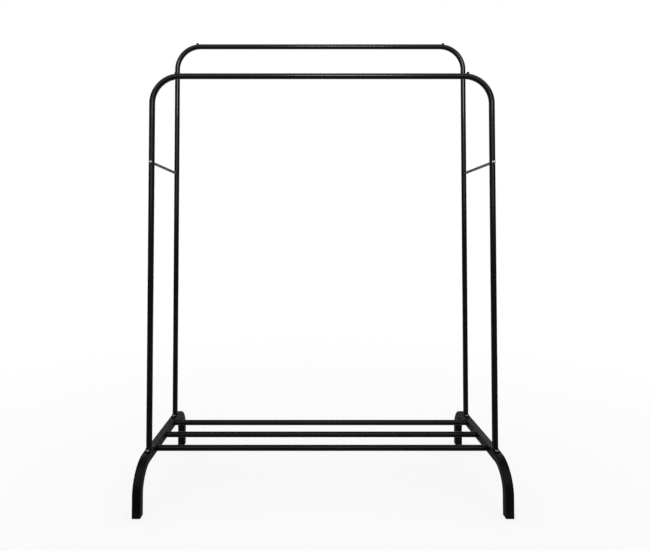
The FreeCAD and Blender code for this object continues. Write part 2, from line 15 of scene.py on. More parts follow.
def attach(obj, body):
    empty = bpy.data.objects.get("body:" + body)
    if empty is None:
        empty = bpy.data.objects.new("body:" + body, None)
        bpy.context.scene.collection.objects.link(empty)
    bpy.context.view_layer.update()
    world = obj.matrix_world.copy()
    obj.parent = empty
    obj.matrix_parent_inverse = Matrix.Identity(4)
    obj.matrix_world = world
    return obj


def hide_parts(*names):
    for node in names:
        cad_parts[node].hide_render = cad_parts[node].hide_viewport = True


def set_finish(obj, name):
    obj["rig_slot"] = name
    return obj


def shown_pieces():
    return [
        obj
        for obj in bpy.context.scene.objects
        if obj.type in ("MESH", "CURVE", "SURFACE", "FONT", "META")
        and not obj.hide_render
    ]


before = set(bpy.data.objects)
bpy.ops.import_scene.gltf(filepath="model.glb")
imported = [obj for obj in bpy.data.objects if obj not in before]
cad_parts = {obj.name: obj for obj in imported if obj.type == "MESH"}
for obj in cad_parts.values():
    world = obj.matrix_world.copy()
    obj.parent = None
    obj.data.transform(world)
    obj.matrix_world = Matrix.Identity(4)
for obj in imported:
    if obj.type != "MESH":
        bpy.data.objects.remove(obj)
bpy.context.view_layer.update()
print("selected after loading:", len(bpy.context.selected_objects), "objects")

# %% [markdown]
# ## An empty selection
# Every operator in Blender works on what is selected, and loading leaves the CAD nodes
# selected. By hand one clicks on an empty place before starting something new. A
# small helper does the same here. It leaves edit mode first, because a primitive that is
# added in edit mode goes into the mesh that is open.


# %% Start from an empty selection
def deselect_all():
    """Leave edit mode and start from an empty selection."""
    active = bpy.context.view_layer.objects.active
    if active and active.mode != "OBJECT":
        bpy.ops.object.mode_set(mode="OBJECT")
    bpy.ops.object.select_all(action="DESELECT")


deselect_all()
print("selected now:", len(bpy.context.selected_objects), "objects")

# %% [markdown]
# ## The camera
# The picture was taken from straight in front, a little above half the rack's height, with
# a wide lens. A camera can be set by eye, but here its place was solved from the corners of
# the frames, which is quicker than many small tries. The lens is tilted up slightly, and
# the shift says that the frame's middle lies below the lens axis.

# %% Camera at the photograph's angle
IMAGE_WIDTH = 650
IMAGE_HEIGHT = 551
SENSOR = 36.0
FOCAL_PIXELS = 487.0
AXIS_PIXEL = (311.35, 219.97)
CAMERA_PLACE = (-0.035, -1.7456, 0.8557)
CAMERA_TILT = 0.0266

looking = (math.pi / 2 + CAMERA_TILT, 0, 0)
bpy.ops.object.camera_add(location=CAMERA_PLACE, rotation=looking)
camera = bpy.context.object
camera.name = "front_camera"
camera.data.sensor_width = SENSOR
camera.data.lens = FOCAL_PIXELS * SENSOR / IMAGE_WIDTH
camera.data.shift_x = (IMAGE_WIDTH / 2 - AXIS_PIXEL[0]) / IMAGE_WIDTH
camera.data.shift_y = (AXIS_PIXEL[1] - IMAGE_HEIGHT / 2) / IMAGE_WIDTH
bpy.context.scene.camera = camera
print("lens", round(camera.data.lens, 2), "mm")

# %% [markdown]
# ## The hanging frames
# Each frame is two bent tubes that meet in the middle of the bar. On the real rack a
# straight tube is bent on a roller. A curve with a round bevel would give the same shape,
# but a circle that is pulled up and spun keeps its rings square to the bend and easy to
# count. We model the right halves only. Two rings lie close above and below the brace,
# so that the hole drilled there later stays in a short stretch of tube.
# A new primitive gets its place put into its mesh at once, because a finished piece sits
# at the origin, unturned, as a CAD node does.

# %% Pull the uprights up from a circle
TUBE_RADIUS = 0.0095
TUBE_SIDES = 64
UPRIGHT_X = 0.56
FRAME_Y = 0.15
PLATE_TOP = 0.158
BEND_RADIUS = 0.09
BRACE_HEIGHT = 1.087
BRACE_STRETCH = 0.012
BAR_HEIGHT = {"front": 1.373, "rear": 1.587}
ENDS = {"front": -1, "rear": 1}


def settle(name):
    """Name the new primitive, put its place into its mesh and go into edit mode."""
    piece = bpy.context.object
    piece.name = name
    piece.data.name = name
    bpy.ops.object.transform_apply(location=True, rotation=True, scale=True)
    bpy.ops.object.mode_set(mode="EDIT")
    return piece


def pull(x=0.0, y=0.0, z=0.0):
    """Extrude what is selected along one direction."""
    bpy.ops.mesh.extrude_region_move(TRANSFORM_OT_translate={"value": (x, y, z)})


half_frames = {}
for end, sign in ENDS.items():
    deselect_all()
    bpy.ops.mesh.primitive_circle_add(
        vertices=TUBE_SIDES,
        radius=TUBE_RADIUS,
        location=(UPRIGHT_X, sign * FRAME_Y, PLATE_TOP),
    )
    half_frames[end] = settle(f"{end}_right_hanging_tube")
    bend_start = BAR_HEIGHT[end] - BEND_RADIUS
    level = PLATE_TOP
    for next_level in (BRACE_HEIGHT - BRACE_STRETCH, BRACE_HEIGHT + BRACE_STRETCH, bend_start):
        pull(z=next_level - level)
        level = next_level
    print(half_frames[end].name, "pulled up to", round(level, 4))

# %% [markdown]
# In edit mode one clicks on the points to be worked on. A script could list them by number,
# but numbers change whenever points are added, so this helper picks them by where they are.
# It takes points, edges or faces, and it is tried here on the top ring of each upright.

# %% Pick the top rings by their place
NEAR = 1e-5


def select_only(piece):
    """Select one piece and make it the active one."""
    deselect_all()
    piece.select_set(True)
    bpy.context.view_layer.objects.active = piece


def open_mesh(piece):
    """Select one piece and go into edit mode."""
    select_only(piece)
    bpy.ops.object.mode_set(mode="EDIT")


def pick(test, kind="VERT"):
    """In edit mode, select the vertices, edges or faces whose middle passes the test."""
    bpy.ops.mesh.select_mode(type=kind)
    bpy.ops.mesh.select_all(action="DESELECT")
    data = bpy.context.object.data
    shape = bmesh.from_edit_mesh(data)
    parts = {"VERT": shape.verts, "EDGE": shape.edges, "FACE": shape.faces}[kind]
    found = 0
    for part in parts:
        corners = [part] if kind == "VERT" else part.verts
        middle = sum((corner.co for corner in corners), Vector()) / len(corners)
        if test(middle):
            part.select_set(True)
            found += 1
    shape.select_flush_mode()
    bmesh.update_edit_mesh(data)
    return found


for end, tube in half_frames.items():
    bend_start = BAR_HEIGHT[end] - BEND_RADIUS
    open_mesh(tube)
    found = pick(lambda co: co.z > bend_start - NEAR)
    print(tube.name, "has a top ring of", found, "points")

# %% [markdown]
# Each top ring, which is still picked, is spun a quarter turn about the bend's centre. The
# ring at the end of the bend is then pulled along to the middle of the bar. A Bend
# modifier would need a long row of rings to bend, while a spin makes its own. At the end
# doubles are merged and all faces are turned outwards.

# %% Bend the tubes over and pull the bars
BEND_STEPS = 40
BAR_SEAM = 0.0004
DOUBLE = 2e-6


def close_up(piece):
    """Merge doubles, turn every face outwards and go back to object mode."""
    bpy.ops.mesh.select_mode(type="VERT")
    bpy.ops.mesh.select_all(action="SELECT")
    bpy.ops.mesh.remove_doubles(threshold=DOUBLE)
    bpy.ops.mesh.normals_make_consistent(inside=False)
    bpy.ops.object.mode_set(mode="OBJECT")
    return piece


for end, tube in half_frames.items():
    bend_x = UPRIGHT_X - BEND_RADIUS
    bend_centre = (bend_x, ENDS[end] * FRAME_Y, BAR_HEIGHT[end] - BEND_RADIUS)
    open_mesh(tube)
    bpy.ops.mesh.spin(steps=BEND_STEPS, angle=math.pi / 2, center=bend_centre, axis=(0, 1, 0))
    pick(lambda co: co.x < bend_x + NEAR)
    pull(x=BAR_SEAM / 2 - bend_x)
    close_up(tube)
    top = max(v.co.z for v in tube.data.vertices)
    print(tube.name, "has", len(tube.data.vertices), "points, top at", round(top, 4))

# %% [markdown]
# A tube has a wall. One could pull a second skin inside the first, but Solidify grows it in
# one go, and inwards, which is why the faces had to point outwards first. A maker files the
# burr off the cut rims, and a narrow bevel does the same. It also draws the fine line where
# the two halves of a bar meet.

# %% Give the tubes a wall and filed ends
TUBE_WALL = 0.0012
RIM_BEVEL = 0.0003
SHARP = math.radians(40)


def add_and_apply(piece, kind, **settings):
    """Add a modifier, set it up and apply it."""
    select_only(piece)
    bpy.ops.object.modifier_add(type=kind)
    modifier = piece.modifiers[-1]
    for setting, wanted in settings.items():
        setattr(modifier, setting, wanted)
    bpy.ops.object.modifier_apply(modifier=modifier.name)


def soften(piece, width, segments, angle):
    """Bevel every edge that is sharper than an angle."""
    limit = {"limit_method": "ANGLE", "angle_limit": angle}
    add_and_apply(piece, "BEVEL", width=width, segments=segments, **limit)


def give_wall(piece, wall):
    """Grow a wall inwards and break the sharp rims."""
    add_and_apply(piece, "SOLIDIFY", thickness=wall, offset=-1.0, use_even_offset=True)
    soften(piece, RIM_BEVEL, segments=2, angle=SHARP)


for tube in half_frames.values():
    give_wall(tube, TUBE_WALL)
    print(tube.name, "now has", len(tube.data.polygons), "faces")

# %% [markdown]
# The brace passes through each upright, and a stop is pushed into a hole on each bend.
# A round hole could be drawn into the mesh by hand, but on a round tube its rim is a
# saddle. So both holes are drilled with a Boolean, as in the workshop, and the cylinder that
# did it is thrown away. Where edges cross, the cut leaves points that lie on top of each
# other, and they are merged at once.

# %% Drill the uprights and the bends
ROD_HOLE_RADIUS = 0.00325
STOP_HOLE_RADIUS = 0.0021
STOP_LEAN = math.radians(7)


def drill_bit(radius, start, end, sides=48):
    """A round cutting tool from one point to another."""
    start = Vector(start)
    end = Vector(end)
    run = end - start
    deselect_all()
    bpy.ops.mesh.primitive_cylinder_add(
        vertices=sides,
        radius=radius,
        depth=run.length,
        location=(start + end) / 2,
        rotation=run.to_track_quat("Z", "Y").to_euler(),
    )
    return close_up(settle("drill_bit"))


def combine(piece, tool, operation):
    """Cut, add or intersect another shape, throw it away and merge the points that double."""
    add_and_apply(piece, "BOOLEAN", operation=operation, solver="EXACT", object=tool)
    bpy.data.objects.remove(tool, do_unlink=True)
    open_mesh(piece)
    close_up(piece)


reach = 2 * TUBE_RADIUS
for end, tube in half_frames.items():
    y = ENDS[end] * FRAME_Y
    near_side = (UPRIGHT_X, y - reach, BRACE_HEIGHT)
    far_side = (UPRIGHT_X, y + reach, BRACE_HEIGHT)
    combine(tube, drill_bit(ROD_HOLE_RADIUS, near_side, far_side), "DIFFERENCE")
    centre = Vector((UPRIGHT_X - BEND_RADIUS, y, BAR_HEIGHT[end] - BEND_RADIUS))
    outward = Vector((math.sin(STOP_LEAN), 0, math.cos(STOP_LEAN)))
    inside = centre + outward * BEND_RADIUS
    combine(tube, drill_bit(STOP_HOLE_RADIUS, inside, inside + outward * reach), "DIFFERENCE")
    print(tube.name, "drilled,", len(tube.data.polygons), "faces")

# %% [markdown]
# Each upright is welded to a small foot plate. A weld bead is a row of overlapping
# puddles, so a plain ring would look wrong. A displacing noise would make it lumpy all
# over, so instead every third ring of a torus is fattened a little, which gives the even
# ripple of a good weld. The bead is slim enough to stay out of the tube's bore.

# %% Lay a weld bead round the foot of each upright
BEAD_RADIUS = 0.0012
BEAD_LIFT = 0.0004
BEAD_PLAY = 0.0003
BEAD_RINGS = 78
BEAD_SIDES = 14
BEAD_RIPPLE = 0.00022
RIPPLE_EVERY = 3


def weld_bead(name, x, y, z):
    """A rippled ring of weld round an upright."""
    deselect_all()
    bpy.ops.mesh.primitive_torus_add(
        location=(x, y, z),
        major_segments=BEAD_RINGS,
        minor_segments=BEAD_SIDES,
        major_radius=TUBE_RADIUS + BEAD_PLAY,
        minor_radius=BEAD_RADIUS,
    )
    piece = settle(name)
    step = 2 * math.pi / BEAD_RINGS
    pick(lambda co: round(math.atan2(co.y - y, co.x - x) / step) % RIPPLE_EVERY == 0)
    bpy.ops.transform.shrink_fatten(value=BEAD_RIPPLE)
    return close_up(piece)


beads = {}
for end, sign in ENDS.items():
    beads[end] = weld_bead(f"{end}_bead", UPRIGHT_X, sign * FRAME_Y, PLATE_TOP + BEAD_LIFT)
    print(beads[end].name, "of", len(beads[end].data.vertices), "points")

# %% [markdown]
# The bead is added to its tube as a union, since the two are one painted part on the real
# rack. Joining the two meshes would be quicker, but it would leave faces inside the wall.
# Then the tube is shaded smooth up to a certain angle, so that rims and holes stay
# crisp. Weighted normals let the large faces lead, which keeps flat faces flat beside
# a narrow rounding.


# %% Add the beads and shade the tubes
def smooth(piece, degrees=35):
    """Smooth shading with crisp edges, and flat faces that stay flat beside a rounding."""
    select_only(piece)
    bpy.ops.object.shade_smooth_by_angle(angle=math.radians(degrees))
    add_and_apply(piece, "WEIGHTED_NORMAL", keep_sharp=True)


for end, tube in half_frames.items():
    combine(tube, beads[end], "UNION")
    smooth(tube)
    print(tube.name, "carries its weld bead")

# %% [markdown]
# The left half is the right half turned about the middle of the bar. Mirroring would do
# as well, but it turns faces inside out and they must then be flipped. A half turn keeps
# everything as it is, and the seam stays square. Each finished half now rides on the rack
# and stands for its CAD node.

# %% Turn a copy for the left half of each frame
HALF_TURN = Matrix.Rotation(math.pi, 4, "Z")


def copy_of(piece, name, place):
    """A copy with its own mesh, moved by a matrix that is then put into that mesh."""
    select_only(piece)
    bpy.ops.object.duplicate(linked=False)
    twin = bpy.context.object
    twin.name = name
    twin.data.name = name
    twin.matrix_world = place
    bpy.ops.object.transform_apply(location=True, rotation=True, scale=True)
    return twin


def hand_over(piece, node, slot):
    """A finished piece rides on the rack, stands for its CAD node and takes a slot's finish."""
    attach(piece, "root")
    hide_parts(node)
    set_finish(piece, slot)
    piece.data.calc_loop_triangles()
    print(piece.name, "stands for", node, "with", len(piece.data.loop_triangles), "triangles")


for end, tube in half_frames.items():
    y = ENDS[end] * FRAME_Y
    about = Matrix.Translation((0, y, 0)) @ HALF_TURN @ Matrix.Translation((0, -y, 0))
    twin = copy_of(tube, f"{end}_left_hanging_tube", about)
    hand_over(tube, f"{end}_frame_right", "black_paint")
    hand_over(twin, f"{end}_frame_left", "black_paint")

# %% [markdown]
# ## The base arches
# The arches are square tube with softly rounded corners, bent over at both ends to make the
# legs. A cube with bevelled edges could be bent with a modifier, but its corners
# would be squeezed. A plane with bevelled corners gives a clean section to start from, and
# only its rim is kept.

# %% Draw the arch's section
ARCH_SIZE = 0.026
ARCH_CORNER = 0.0025
ARCH_LEG_Y = 0.2535
CAP_FOOT = 0.003


def rounded_square(name, width, length, corner, place, segments=6):
    """A flat rounded rectangle, still in edit mode and selected."""
    deselect_all()
    bpy.ops.mesh.primitive_plane_add(size=1, location=place)
    bpy.context.object.scale = (width, length, 1)
    piece = settle(name)
    bpy.ops.mesh.bevel(offset=corner, segments=segments, affect="VERTICES")
    bpy.ops.mesh.select_all(action="SELECT")
    return piece


leg_foot = (UPRIGHT_X, -ARCH_LEG_Y, CAP_FOOT)
arch = rounded_square("right_arch_tube", ARCH_SIZE, ARCH_SIZE, ARCH_CORNER, leg_foot)
bpy.ops.mesh.delete(type="ONLY_FACE")
bpy.ops.object.mode_set(mode="OBJECT")
print(arch.name, "starts from a rim of", len(arch.data.vertices), "points")

# %% [markdown]
# The rim travels the way the tube runs: up the front leg, a quarter turn over, along the
# top, a quarter turn down and to the second foot. Spinning about the bend's centre keeps
# the section whole, so the inner and the outer wall of the bend both come out round.

# %% Bend the arch over from foot to foot
ARCH_TOP = 0.155
ARCH_OUTER_BEND = 0.092
ARCH_BEND_STEPS = 36
arch_bend_z = ARCH_TOP - ARCH_OUTER_BEND
arch_bend_y = ARCH_LEG_Y + ARCH_SIZE / 2 - ARCH_OUTER_BEND


def bend_over(y):
    """Spin what is selected a quarter turn about the centre of a bend."""
    bpy.ops.mesh.spin(
        steps=ARCH_BEND_STEPS,
        angle=math.pi / 2,
        center=(UPRIGHT_X, y, arch_bend_z),
        axis=(1, 0, 0),
    )


open_mesh(arch)
bpy.ops.mesh.select_all(action="SELECT")
pull(z=arch_bend_z - CAP_FOOT)
bend_over(-arch_bend_y)
pick(lambda co: co.y > -arch_bend_y - NEAR)
pull(y=2 * arch_bend_y)
bend_over(arch_bend_y)
pick(lambda co: co.z < arch_bend_z + NEAR and co.y > arch_bend_y)
pull(z=CAP_FOOT - arch_bend_z)
close_up(arch)
heights = [v.co.z for v in arch.data.vertices]
print(arch.name, "from", round(min(heights), 4), "to", round(max(heights), 4))

# %% [markdown]
# The arch gets its wall in the same way as the round tubes. Then it is drilled: three holes
# right through for the bolts of the shelf rails, and four in the top wall for the
# threaded sleeves that hold the foot plates. The holes are covered later, but the
# arch is right when it is taken apart too. The left arch is a copy, moved across.

# %% Wall and holes of the arches
ARCH_WALL = 0.0015
RAIL_Y = (-0.108, 0.0, 0.108)
RAIL_HEIGHT = 0.142
SHANK_HOLE_RADIUS = 0.00325
SLEEVE_RADIUS = 0.0045
SCREW_OFFSET = 0.0165

give_wall(arch, ARCH_WALL)
for y in RAIL_Y:
    inner = (UPRIGHT_X - ARCH_SIZE, y, RAIL_HEIGHT)
    outer = (UPRIGHT_X + ARCH_SIZE, y, RAIL_HEIGHT)
    combine(arch, drill_bit(SHANK_HOLE_RADIUS, inner, outer), "DIFFERENCE")
for sign in ENDS.values():
    for step in (-1, 1):
        y = sign * FRAME_Y + step * SCREW_OFFSET
        low = (UPRIGHT_X, y, ARCH_TOP - ARCH_SIZE / 2)
        high = (UPRIGHT_X, y, ARCH_TOP + ARCH_SIZE / 2)
        combine(arch, drill_bit(SLEEVE_RADIUS, low, high), "DIFFERENCE")
smooth(arch)
left_arch = copy_of(arch, "left_arch_tube", Matrix.Translation((-2 * UPRIGHT_X, 0, 0)))
hand_over(arch, "right_base_arch", "black_paint")
hand_over(left_arch, "left_base_arch", "black_paint")

# %% [markdown]
# ## The shelf rails
# Three straight round tubes lie between the arches and carry shoes or boxes. On the real
# rack they are sawn from the same tube as the frames and drawn tight with a bolt at each end.
# A cylinder would have closed ends, so the rail is pulled out of a circle that stands
# on its edge. It gets a wall and is copied twice.

# %% Pull one rail and copy it
RAIL_RADIUS = 0.0095
RAIL_END = UPRIGHT_X - ARCH_SIZE / 2
RAIL_NAMES = ("front", "middle", "rear")

deselect_all()
bpy.ops.mesh.primitive_circle_add(
    vertices=TUBE_SIDES,
    radius=RAIL_RADIUS,
    location=(-RAIL_END, RAIL_Y[0], RAIL_HEIGHT),
    rotation=(0, math.pi / 2, 0),
)
rail = settle("front_rail_tube")
pull(x=2 * RAIL_END)
close_up(rail)
give_wall(rail, TUBE_WALL)
smooth(rail)
rails = [rail]
for label, y in zip(RAIL_NAMES[1:], RAIL_Y[1:]):
    shift = Matrix.Translation((0, y - RAIL_Y[0], 0))
    rails.append(copy_of(rail, f"{label}_rail_tube", shift))
for label, piece in zip(RAIL_NAMES, rails):
    hand_over(piece, f"{label}_shelf_rail", "black_paint")

# %% [markdown]
# ## The foot caps
# A moulded cap closes each leg: a square sole under the tube and a hollow plug inside it.
# It could be two boxes put together, but one skin has no hidden faces. The sole is a rounded
# square pulled up, its top is inset to the plug's size, and the plug is pulled up, inset
# again and hollowed.

# %% Shape one foot cap
CAP_PLUG_LENGTH = 0.02
CAP_PLAY = 0.0001
CAP_WALL = 0.0025

cap_place = (UPRIGHT_X, ENDS["front"] * ARCH_LEG_Y, 0)
cap = rounded_square("front_right_sole_cap", ARCH_SIZE, ARCH_SIZE, ARCH_CORNER, cap_place)
pull(z=CAP_FOOT)
bpy.ops.mesh.inset(thickness=ARCH_WALL + CAP_PLAY)
pull(z=CAP_PLUG_LENGTH)
bpy.ops.mesh.inset(thickness=CAP_WALL)
pull(z=-CAP_PLUG_LENGTH)
close_up(cap)
print(cap.name, "with", len(cap.data.polygons), "faces")

# %% [markdown]
# The edge that stands on the floor is rounded, as a mould leaves it. A Bevel modifier would
# round every edge, also those inside the tube, so only this edge is picked and bevelled.
# The cap is then copied to the other three legs.

# %% Round the sole's edge and copy the cap
SOLE_BEVEL = 0.0008
SIDES = {"left": -1, "right": 1}


def on_sole_edge(co):
    """Whether a place lies on the outer edge of the sole."""
    out = max(abs(co.x - cap_place[0]), abs(co.y - cap_place[1]))
    return co.z < NEAR and out > ARCH_SIZE / 2 - ARCH_CORNER


def four_of(piece, label, half_depth):
    """The front right piece and its copies at the other three corners of the rack."""
    corners = {("front", "right"): piece}
    for end, end_sign in ENDS.items():
        for side, side_sign in SIDES.items():
            if (end, side) not in corners:
                across = (side_sign - 1) * UPRIGHT_X
                shift = Matrix.Translation((across, (end_sign + 1) * half_depth, 0))
                corners[end, side] = copy_of(piece, f"{end}_{side}_{label}", shift)
    return corners


open_mesh(cap)
pick(on_sole_edge, "EDGE")
bpy.ops.mesh.bevel(offset=SOLE_BEVEL, segments=4, affect="EDGES")
close_up(cap)
smooth(cap, degrees=30)
for (end, side), piece in four_of(cap, "sole_cap", ARCH_LEG_Y).items():
    hand_over(piece, f"{end}_{side}_foot_cap", "black_plastic")

# %% [markdown]
# ## The foot plates
# A small plate under each upright takes two screws. It is punched from sheet metal, so a
# rounded rectangle is pulled up by the sheet's thickness. A punch leaves a slightly rounded
# top edge, and a fine bevel there catches the light. A box with all edges bevelled
# would look like a moulding instead.

# %% Punch one foot plate
PLATE_WIDTH = 0.02
PLATE_LENGTH = 0.047
PLATE_CORNER = 0.004
PLATE_EDGE = 0.0004

plate_place = (UPRIGHT_X, ENDS["front"] * FRAME_Y, ARCH_TOP)
plate_shape = (PLATE_WIDTH, PLATE_LENGTH, PLATE_CORNER, plate_place)
plate = rounded_square("front_right_foot_plate", *plate_shape, segments=8)
pull(z=PLATE_TOP - ARCH_TOP)
close_up(plate)
open_mesh(plate)
pick(lambda co: co.z > PLATE_TOP - NEAR, "EDGE")
bpy.ops.mesh.bevel(offset=PLATE_EDGE, segments=3, affect="EDGES")
close_up(plate)
print(plate.name, "with", len(plate.data.polygons), "faces")

# %% [markdown]
# The two screw holes come last, after the bevel, so that the Boolean's many-sided faces
# don't get in its way. Then the plate is copied to the other three uprights.

# %% Drill the plate and copy it
for step in (-1, 1):
    y = plate_place[1] + step * SCREW_OFFSET
    low = (UPRIGHT_X, y, ARCH_TOP - PLATE_WIDTH)
    high = (UPRIGHT_X, y, PLATE_TOP + PLATE_WIDTH)
    combine(plate, drill_bit(SHANK_HOLE_RADIUS, low, high), "DIFFERENCE")
smooth(plate, degrees=30)
for (end, side), piece in four_of(plate, "foot_plate", FRAME_Y).items():
    hand_over(piece, f"{end}_{side}_base_plate", "black_paint")

# %% [markdown]
# ## Domed screws and bolts
# The bright dots on the arches are domed screw heads. Half an outline says all about a
# screw: it runs from the tip of the shank out to the head's rim and over the dome to the
# axis. The dome could be drawn by eye, but it is part of a ball, so it is worked out
# from its rim and its height.

# %% Draw the outline of a domed screw
SHANK_RADIUS = 0.003
SHANK_CHAMFER = 0.0006
SCREW_SHANK = 0.015
BOLT_SHANK = 0.045
HEAD_RADIUS = 0.00525
HEAD_RIM = 0.0008
HEAD_HEIGHT = 0.0033
HEAD_EDGE = 0.00015


def dome(edge, rim, top, count=12):
    """Points of a round dome from its rim to its top, as (radius, height)."""
    rise = top - rim
    ball = (edge * edge + rise * rise) / (2 * rise)
    sweep = math.asin(min(1.0, edge / ball))
    if rise > ball:
        sweep = math.pi - sweep
    angles = [sweep * (1 - k / count) for k in range(count + 1)]
    return [(ball * math.sin(a), top - ball + ball * math.cos(a)) for a in angles]


def screw_outline(shank):
    """Half the outline of a domed screw that hangs from the origin by its head."""
    corners = [
        (0, -shank),
        (SHANK_RADIUS - SHANK_CHAMFER, -shank),
        (SHANK_RADIUS, SHANK_CHAMFER - shank),
        (SHANK_RADIUS, 0),
        (HEAD_RADIUS - HEAD_EDGE, 0),
        (HEAD_RADIUS, HEAD_EDGE),
    ]
    return corners + dome(HEAD_RADIUS, HEAD_RIM, HEAD_HEIGHT)


print("outline of", len(screw_outline(SCREW_SHANK)), "corners")

# %% [markdown]
# Screws are made on a lathe, and so are ours. One point is pulled from corner to corner, and
# the line that it draws is spun round the axis. Stacked cylinders would leave hidden
# faces between them. The point itself is a tiny plane that is merged to its middle.

# %% Turn the screws and the bolts
SEED_SIZE = 0.001


def turned(name, outline, steps=56):
    """Spin an outline of (radius, height) corners round the upright axis."""
    first_radius, first_height = outline[0]
    deselect_all()
    bpy.ops.mesh.primitive_plane_add(size=SEED_SIZE, location=(first_radius, 0, first_height))
    piece = settle(name)
    bpy.ops.mesh.merge(type="CENTER")
    for (radius, height), (next_radius, next_height) in zip(outline, outline[1:]):
        pull(x=next_radius - radius, z=next_height - height)
    bpy.ops.mesh.select_all(action="SELECT")
    bpy.ops.mesh.spin(steps=steps, angle=2 * math.pi, center=(0, 0, 0), axis=(0, 0, 1))
    return close_up(piece)


base_screw = turned("base_screw", screw_outline(SCREW_SHANK))
rail_bolt = turned("rail_bolt", screw_outline(BOLT_SHANK))
for screw in (base_screw, rail_bolt):
    print("turned", screw.name, "with", len(screw.data.polygons), "faces")

# %% [markdown]
# Each head has a hexagon socket for a key. It could be inset and pushed in, but the dome's
# faces run round and not in sixths, so a six-sided tool cuts it. A narrow bevel on
# its mouth catches the light, as the worn edge of a real socket does.

# %% Cut the sockets
COS_30 = math.cos(math.pi / 6)
SOCKET_FLATS = 0.004
SOCKET_CORNER = SOCKET_FLATS / 2 / COS_30
SOCKET_DEPTH = 0.002
MOUTH_BAND = 0.0006


def hexagon(name, corner, low, high):
    """A six-sided prism on the upright axis, from one height to another."""
    deselect_all()
    bpy.ops.mesh.primitive_cylinder_add(
        vertices=6,
        radius=corner,
        depth=high - low,
        location=(0, 0, (low + high) / 2),
    )
    return close_up(settle(name))


def on_mouth(co):
    """Whether a place lies on the rim of the socket, where it breaks through the dome."""
    out = math.hypot(co.x, co.y)
    on_rim = SOCKET_FLATS / 2 - NEAR < out < SOCKET_CORNER + NEAR
    return on_rim and co.z > HEAD_HEIGHT - MOUTH_BAND


socket_span = (HEAD_HEIGHT - SOCKET_DEPTH, HEAD_HEIGHT + SOCKET_DEPTH)
for screw in (base_screw, rail_bolt):
    combine(screw, hexagon("socket_tool", SOCKET_CORNER, *socket_span), "DIFFERENCE")
    open_mesh(screw)
    found = pick(on_mouth, "EDGE")
    bpy.ops.mesh.bevel(offset=HEAD_EDGE, segments=2, affect="EDGES")
    close_up(screw)
    smooth(screw, degrees=30)
    print(screw.name, "socket mouth of", found, "edges")

# %% [markdown]
# One screw becomes eight, before and behind every upright, and one bolt becomes six, on the
# outer faces of the arches. Each is left at an angle of its own, as the key leaves it.
# Each copy has its own mesh, and a set is joined into one piece, because the CAD model counts
# it as one.

# %% Set the screws and bolts in place
ARCH_FACE = UPRIGHT_X + ARCH_SIZE / 2
KEY_ACROSS = 0.7
KEY_ALONG = 1.9
KEY_STEP = 0.4


def key_turn(across, along, step):
    """A turn about the screw's own axis, different at every place."""
    angle = KEY_ACROSS * across + KEY_ALONG * along + KEY_STEP * step
    return Matrix.Rotation(angle, 4, "Z")


def join_into(piece, others):
    """Join other objects into a piece, which keeps its name."""
    select_only(piece)
    for other in others:
        other.select_set(True)
    bpy.ops.object.join()
    return piece


def set_of(pattern, name, places):
    """Copies of a small part at each place, joined into one piece."""
    copies = [copy_of(pattern, f"{name}_{n}", place) for n, place in enumerate(places, 1)]
    piece = join_into(copies[0], copies[1:])
    piece.name = name
    piece.data.name = name
    bpy.data.objects.remove(pattern, do_unlink=True)
    return piece


screw_places = []
bolt_places = []
for sign in SIDES.values():
    for along in ENDS.values():
        for step in (-1, 1):
            y = along * FRAME_Y + step * SCREW_OFFSET
            place = Matrix.Translation((sign * UPRIGHT_X, y, PLATE_TOP))
            screw_places.append(place @ key_turn(sign, along, step))
    outwards = Matrix.Rotation(sign * math.pi / 2, 4, "Y")
    for along, y in enumerate(RAIL_Y):
        place = Matrix.Translation((sign * ARCH_FACE, y, RAIL_HEIGHT))
        bolt_places.append(place @ outwards @ key_turn(sign, along, 0))
hand_over(set_of(base_screw, "domed_base_screws", screw_places), "base_screws", "bright_hardware")
hand_over(set_of(rail_bolt, "domed_rail_bolts", bolt_places), "rail_bolts", "bright_hardware")

# %% [markdown]
# ## Nuts on the braces
# A hexagon nut is not just a prism: its corners are turned off at an angle, which leaves
# curved edges on the six sides. A bevel can't draw those curves. A six-sided prism that is
# intersected with a turned blank gives them as the lathe does.

# %% Make the hexagon of a cap nut
NUT_FLATS = 0.01
NUT_HEIGHT = 0.005
NUT_FACE_RADIUS = 0.0048
NUT_CORNER = NUT_FLATS / 2 / COS_30
NUT_CHAMFER = (NUT_CORNER - NUT_FACE_RADIUS) * math.tan(math.radians(30))
BLANK_PLAY = 0.0002
BLANK_RADIUS = NUT_CORNER + BLANK_PLAY

cap_nut = hexagon("cap_nut", NUT_CORNER, 0, NUT_HEIGHT)
blank_outline = [
    (0, 0),
    (NUT_FACE_RADIUS, 0),
    (BLANK_RADIUS, NUT_CHAMFER),
    (BLANK_RADIUS, NUT_HEIGHT - NUT_CHAMFER),
    (NUT_FACE_RADIUS, NUT_HEIGHT),
    (0, NUT_HEIGHT),
]
combine(cap_nut, turned("nut_blank", blank_outline, steps=72), "INTERSECT")
print(cap_nut.name, "hexagon with", len(cap_nut.data.polygons), "faces")

# %% [markdown]
# The dome covers the end of the rod, so that no thread can catch on clothes. It is turned
# like the screw heads and added to the hexagon as a union, and the blind bore comes
# from the drill. The nuts are then set on both ends of both rods.

# %% Crown the nut, bore it and set four of them
THREAD_RADIUS = 0.0031
DOME_RADIUS = 0.0047
DOME_RIM = 0.0015
DOME_HEIGHT = 0.0065
CAP_NUT_DEPTH = 0.0085
NUT_TURN_ACROSS = 0.35
NUT_TURN_ALONG = 0.2


def facing(end):
    """A quarter turn that lays the upright axis down, towards the front or the rear."""
    return Matrix.Rotation(-end * math.pi / 2, 4, "X")


